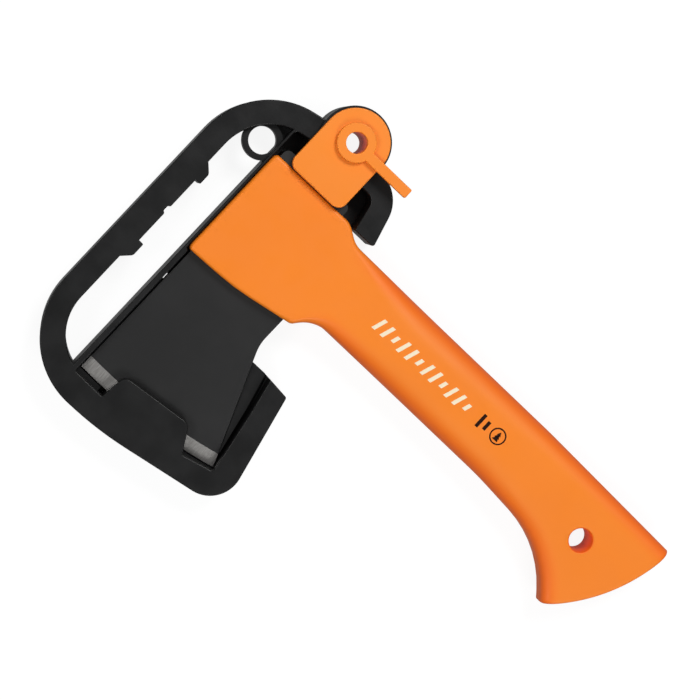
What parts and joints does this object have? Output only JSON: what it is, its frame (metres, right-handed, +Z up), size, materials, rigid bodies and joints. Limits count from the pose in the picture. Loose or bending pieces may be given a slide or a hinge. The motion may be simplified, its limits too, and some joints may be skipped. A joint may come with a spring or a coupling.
{
  "type": "camping hatchet in carrying sheath",
  "caption": "Short camping hatchet with a moulded orange handle, locked in a black carrying sheath with a finger loop, an eyelet and a swinging lock plate.",
  "frame": {"origin": "on the surface it lies on, under the middle of the whole object's outline", "axes": "+X along the handle towards the butt, +Y from the cutting edge towards the poll, +Z up out of the face with the lock lever"},
  "size_m": [0.2594, 0.1694, 0.0278],
  "materials": {
    "coated_steel": "satin black low-friction coating, bare ground bevel",
    "orange_plastic": "fine moulded texture",
    "plug_plastic": "fine moulded texture",
    "black_plastic": "fine moulded texture",
    "plated_steel": "zinc plated",
    "lock_plastic": "fine moulded texture"
  },
  "bodies": {
    "sheath": {"sheath_frame": "black_plastic", "axe_head": "coated_steel", "handle_shell": "orange_plastic", "handle_end_plug": "plug_plastic", "pivot_tube": "lock_plastic", "rear_washer": "plated_steel", "spring_washer": "plated_steel"},
    "lock": {"lock_plate": "lock_plastic", "lock_lever": "lock_plastic"}
  },
  "joints": [
    {"name": "lock_turn", "type": "hinge", "parent": "sheath", "child": "lock", "pos_m": [-0.08235, 0.06979, 0.0238], "axis": [0, 0, 1], "range_deg": [0, 90]}
  ]
}
